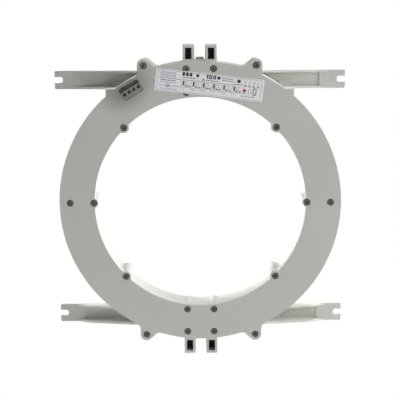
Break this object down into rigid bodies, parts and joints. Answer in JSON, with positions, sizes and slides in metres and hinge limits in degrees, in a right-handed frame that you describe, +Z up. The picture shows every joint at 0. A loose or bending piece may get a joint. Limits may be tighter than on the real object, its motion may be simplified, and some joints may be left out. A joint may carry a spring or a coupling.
{
  "type": "current transformer",
  "caption": "Ring-shaped summation current transformer with a wide cable window, slotted mounting feet, lug sockets and a recessed screw terminal row.",
  "frame": {"origin": "where the window's axis meets the mounting plane", "axes": "+Z up as mounted, +X to the right seen from the front, the front faces -Y and the feet stand on the plane Y = 0"},
  "size_m": [0.279, 0.0402, 0.2964],
  "materials": {
    "shell": "fine spark-eroded texture",
    "dark_screws": "black oxide",
    "black_plastic": "matt",
    "core_alloy": "bare strip edges",
    "case_plastic": "moulded",
    "copper_wire": "enamelled",
    "tape": "polyester film",
    "foam": "closed cell",
    "board": "solder resist",
    "plated_metal": "zinc plated",
    "block_plastic": "moulded",
    "label_film": "printed film"
  },
  "bodies": {
    "root": {"rear_housing": "shell", "front_cover": "shell", "cover_screws": "dark_screws", "lug_insert_1": "black_plastic", "lug_insert_2": "black_plastic", "lug_insert_3": "black_plastic", "lug_insert_4": "black_plastic", "core": "core_alloy", "core_tray": "case_plastic", "core_lid": "case_plastic", "secondary_winding": "copper_wire", "test_winding": "copper_wire", "insulation_wrap": "tape", "rear_pad": "foam", "front_pad": "foam", "circuit_board": "board", "board_screws": "plated_metal", "suppressor_diode": "black_plastic", "terminal_block": "block_plastic", "contact_bars": "plated_metal", "secondary_leads": "black_plastic", "test_leads": "case_plastic", "label": "label_film"},
    "screw_1": {"terminal_screw_1": "dark_screws"},
    "cage_1": {"clamp_cage_1": "plated_metal"},
    "screw_2": {"terminal_screw_2": "dark_screws"},
    "cage_2": {"clamp_cage_2": "plated_metal"},
    "screw_3": {"terminal_screw_3": "dark_screws"},
    "cage_3": {"clamp_cage_3": "plated_metal"},
    "screw_4": {"terminal_screw_4": "dark_screws"},
    "cage_4": {"clamp_cage_4": "plated_metal"}
  },
  "joints": [
    {"name": "screw_1_turn", "type": "hinge", "parent": "root", "child": "screw_1", "pos_m": [-0.05723, -0.035, 0.10981], "axis": [0, 1, 0], "range_deg": [0, 1728.1]},
    {"name": "screw_2_turn", "type": "hinge", "parent": "root", "child": "screw_2", "pos_m": [-0.06152, -0.035, 0.10723], "axis": [0, 1, 0], "range_deg": [0, 1728.1]},
    {"name": "screw_3_turn", "type": "hinge", "parent": "root", "child": "screw_3", "pos_m": [-0.0658, -0.035, 0.10466], "axis": [0, 1, 0], "range_deg": [0, 1728.1]},
    {"name": "screw_4_turn", "type": "hinge", "parent": "root", "child": "screw_4", "pos_m": [-0.07009, -0.035, 0.10208], "axis": [0, 1, 0], "range_deg": [0, 1728.1]},
    {"name": "cage_1_rise", "type": "slide", "parent": "root", "child": "cage_1", "axis": [0, -1, 0], "range_m": [0, 0.00216]},
    {"name": "cage_2_rise", "type": "slide", "parent": "root", "child": "cage_2", "axis": [0, -1, 0], "range_m": [0, 0.00216]},
    {"name": "cage_3_rise", "type": "slide", "parent": "root", "child": "cage_3", "axis": [0, -1, 0], "range_m": [0, 0.00216]},
    {"name": "cage_4_rise", "type": "slide", "parent": "root", "child": "cage_4", "axis": [0, -1, 0], "range_m": [0, 0.00216]}
  ],
  "couplings": [
    {"joint": "screw_1_turn", "follows": "cage_1_rise", "rad_per_m": 13963},
    {"joint": "screw_2_turn", "follows": "cage_2_rise", "rad_per_m": 13963},
    {"joint": "screw_3_turn", "follows": "cage_3_rise", "rad_per_m": 13963},
    {"joint": "screw_4_turn", "follows": "cage_4_rise", "rad_per_m": 13963}
  ]
}
